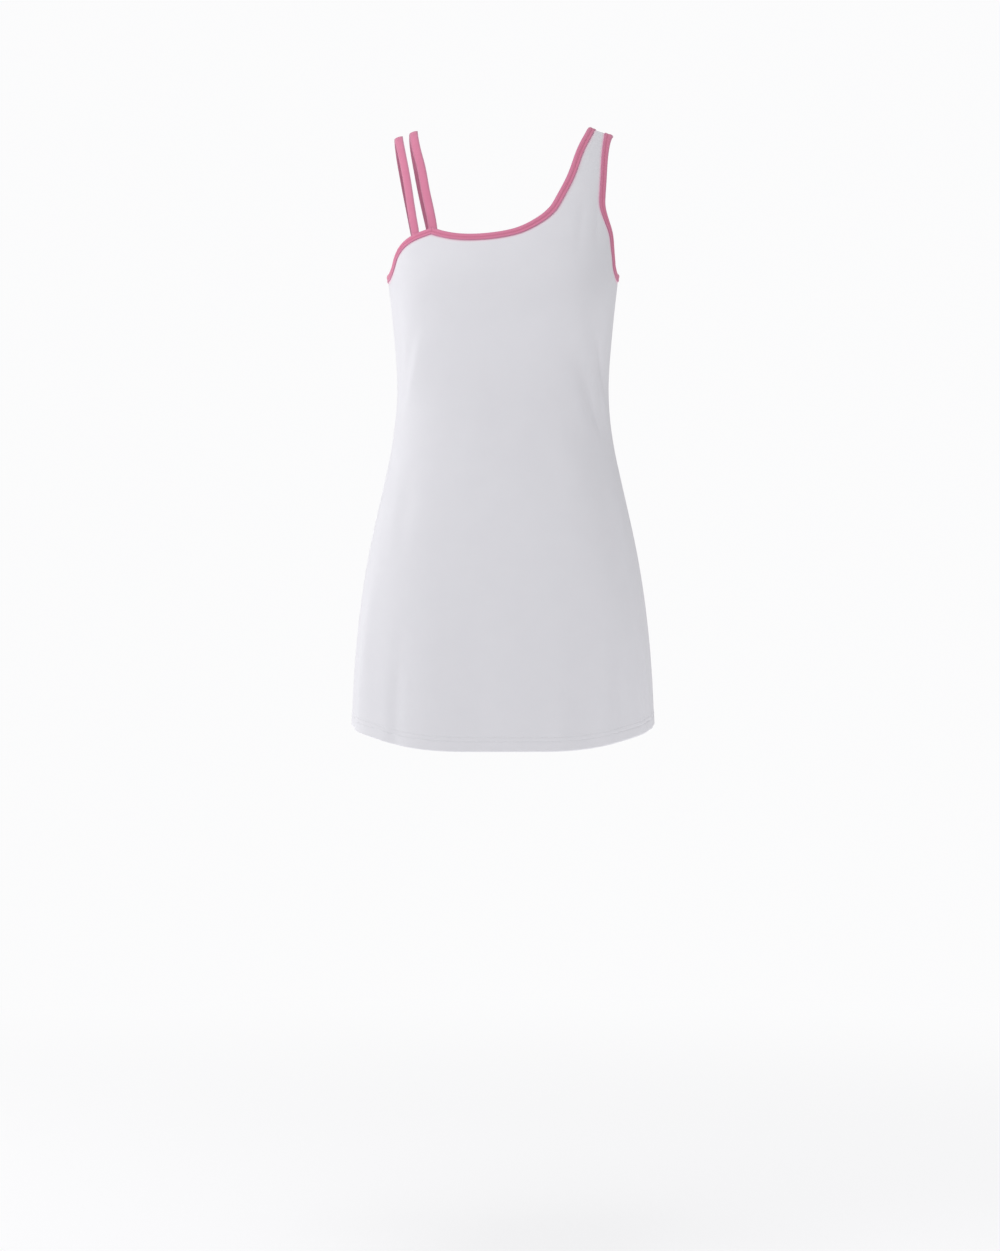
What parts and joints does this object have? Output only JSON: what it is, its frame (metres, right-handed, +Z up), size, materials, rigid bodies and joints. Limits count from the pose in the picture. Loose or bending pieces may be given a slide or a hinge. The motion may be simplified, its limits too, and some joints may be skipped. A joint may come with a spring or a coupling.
{
  "type": "mini dress",
  "caption": "Sleeveless A-line mini dress with a scooped slanting neck, one wide shoulder, two narrow straps and bound edges.",
  "frame": {"origin": "middle of the wearer's shoulder line, where the dress is held", "axes": "+Z up along the wearer, the front of the dress towards -Y, the wearer's left side (the wide shoulder) towards +X"},
  "size_m": [0.3886, 0.2614, 0.7974],
  "materials": {
    "white_knit": "matte double-face knit, white with a touch of lavender",
    "pink_binding": "soft knit binding, pink, folded over the edge and twin-stitched",
    "pink_strap": "soft knit strap, pink, with a light sheen"
  },
  "bodies": {
    "root": {"front_panel": "white_knit", "back_panel": "white_knit", "neck_binding": "pink_binding", "right_armhole_binding": "pink_binding", "left_armhole_binding": "pink_binding", "inner_strap": "pink_strap", "outer_strap": "pink_strap"}
  },
  "joints": []
}
